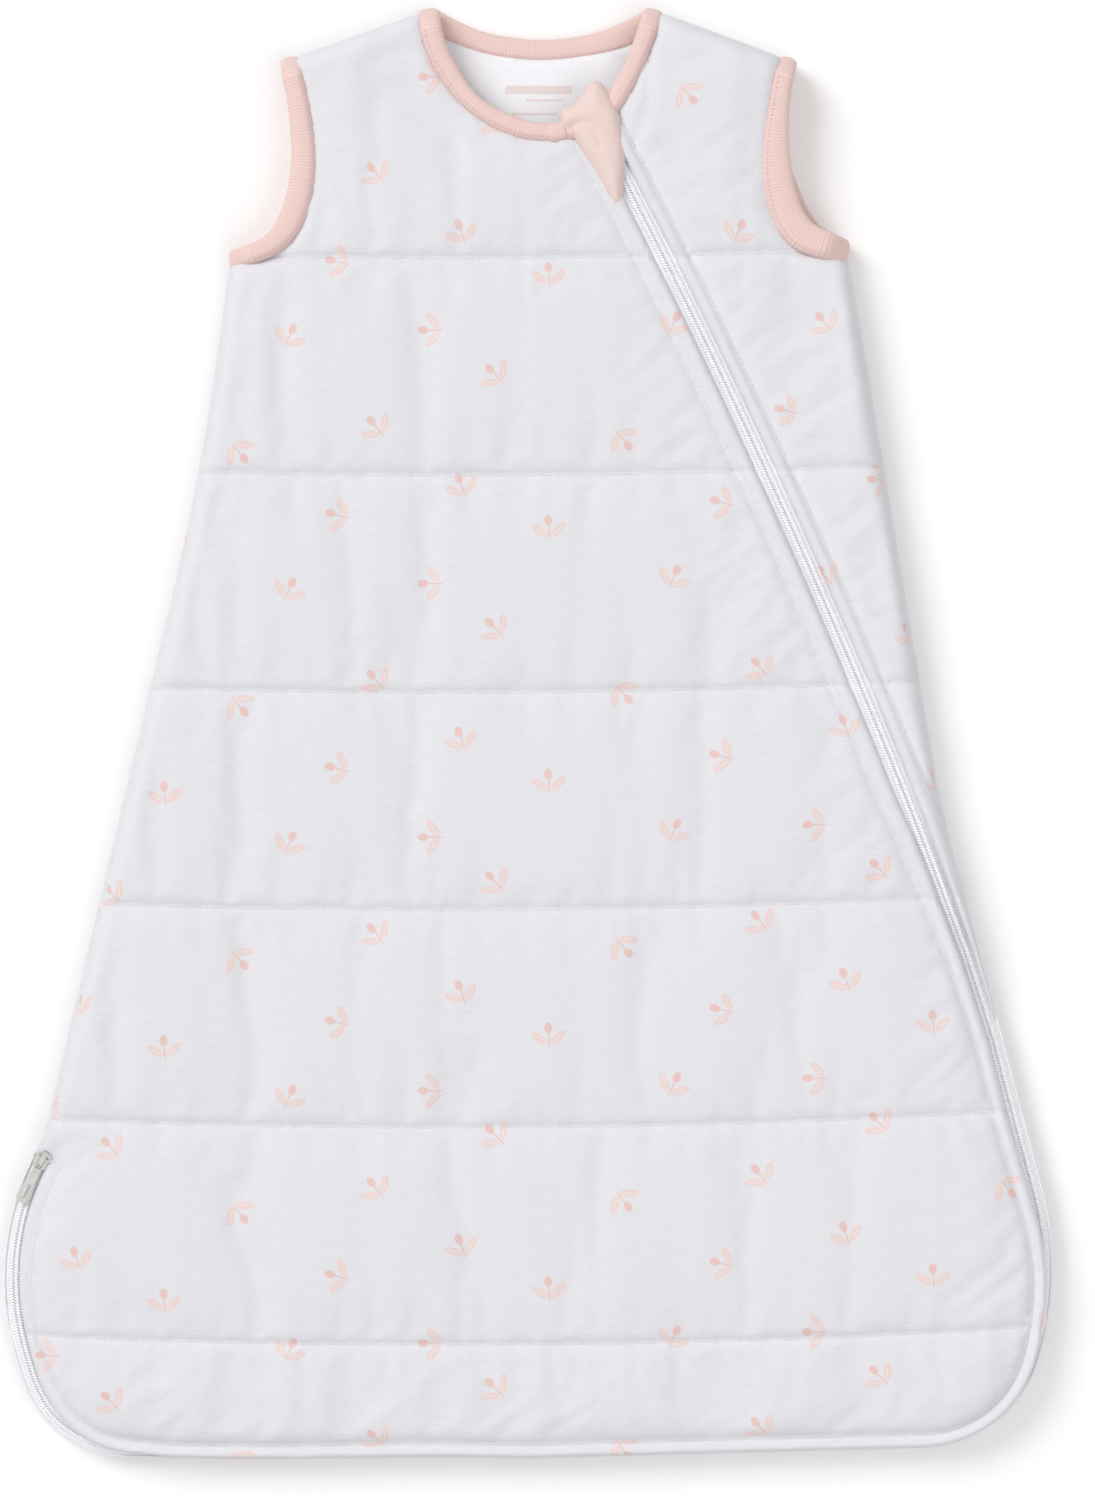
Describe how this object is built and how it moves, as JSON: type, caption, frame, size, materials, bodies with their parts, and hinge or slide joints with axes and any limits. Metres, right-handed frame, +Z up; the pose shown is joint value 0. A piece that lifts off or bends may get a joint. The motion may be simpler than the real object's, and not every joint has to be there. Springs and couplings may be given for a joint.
{
  "type": "baby sleeping bag",
  "caption": "Quilted sleeveless baby sleeping bag, flared towards a rounded hem, with ribbed neck and armhole bindings and a long two-way zip that curves down the front and round the hem.",
  "frame": {"origin": "middle of the bag's length and width, on the surface it lies on", "axes": "+X to the right looking at the front, +Y from hem to neck, +Z up from the back to the front of the bag"},
  "size_m": [0.506, 0.7, 0.0291],
  "materials": {
    "quilt_shell": "soft woven cotton",
    "wadding": "lofted polyester",
    "lining": "soft woven cotton",
    "rib_binding": "rib knit",
    "guard_fabric": "jersey knit",
    "zip_tape": "woven tape",
    "zip_coil": "moulded coil",
    "nickel": "satin nickel plate"
  },
  "bodies": {
    "root": {"back_shell": "quilt_shell", "back_wadding": "wadding", "back_lining": "lining", "front_left_shell": "quilt_shell", "front_left_wadding": "wadding", "front_left_lining": "lining", "front_right_shell": "quilt_shell", "front_right_wadding": "wadding", "front_right_lining": "lining", "armhole_binding_left": "rib_binding", "armhole_binding_right": "rib_binding", "neck_binding": "rib_binding", "zip_tape_left": "zip_tape", "zip_tape_right": "zip_tape", "zip_coil_left": "zip_coil", "zip_coil_right": "zip_coil", "zip_top_stop_right": "nickel", "zip_end_stop": "nickel", "hem_edge_strip": "quilt_shell"},
    "left_lapel": {"lapel_shell": "quilt_shell", "lapel_wadding": "wadding", "lapel_lining": "lining", "neck_binding_lapel": "rib_binding", "zip_tape_lapel": "zip_tape", "zip_coil_lapel": "zip_coil", "zip_top_stop_left": "nickel"},
    "zip_guard": {"zip_guard_face": "guard_fabric", "zip_guard_backing": "guard_fabric"},
    "upper_slider": {"upper_slider_body": "nickel"},
    "upper_puller": {"upper_puller_tab": "nickel"},
    "lower_slider": {"lower_slider_body": "nickel"},
    "lower_puller": {"lower_puller_tab": "nickel"}
  },
  "joints": [
    {"name": "upper_slider_travel", "type": "hinge", "parent": "root", "child": "upper_slider", "pos_m": [-3.08702, -1.33846, 0.0196], "axis": [0, 0, -1], "range_deg": [0, 5.37], "deforming": ["zip_tape_left", "zip_tape_right", "zip_coil_left", "zip_coil_right"]},
    {"name": "left_lapel_fold", "type": "hinge", "parent": "root", "child": "left_lapel", "pos_m": [-0.016, 0.3, 0.02465], "axis": [0.5172, -0.8558, 0], "range_deg": [0, 122], "deforming": ["zip_tape_lapel", "zip_coil_lapel"]},
    {"name": "zip_guard_fold", "type": "hinge", "parent": "left_lapel", "child": "zip_guard", "pos_m": [0.0154, 0.291, 0.02465], "axis": [0.5682, -0.8229, 0], "range_deg": [0, 85], "deforming": ["zip_guard_face", "zip_guard_backing"]},
    {"name": "upper_puller_swing", "type": "hinge", "parent": "upper_slider", "child": "upper_puller", "pos_m": [0.0336, 0.2902, 0.0244], "axis": [-0.8865, -0.4627, 0], "range_deg": [0, 68]},
    {"name": "lower_slider_travel", "type": "hinge", "parent": "root", "child": "lower_slider", "pos_m": [-0.1244, -0.2632, 0.0116], "axis": [0, 0, 1], "range_deg": [0, 46]},
    {"name": "lower_puller_swing", "type": "hinge", "parent": "lower_slider", "child": "lower_puller", "pos_m": [-0.23315, -0.20489, 0.0164], "axis": [-0.8813, 0.4726, 0], "range_deg": [0, 150]}
  ],
  "couplings": [
    {"joint": "left_lapel_fold", "follows": "upper_slider_travel", "ratio": 22.711},
    {"joint": "upper_puller_swing", "follows": "zip_guard_fold", "ratio": 0.8}
  ]
}
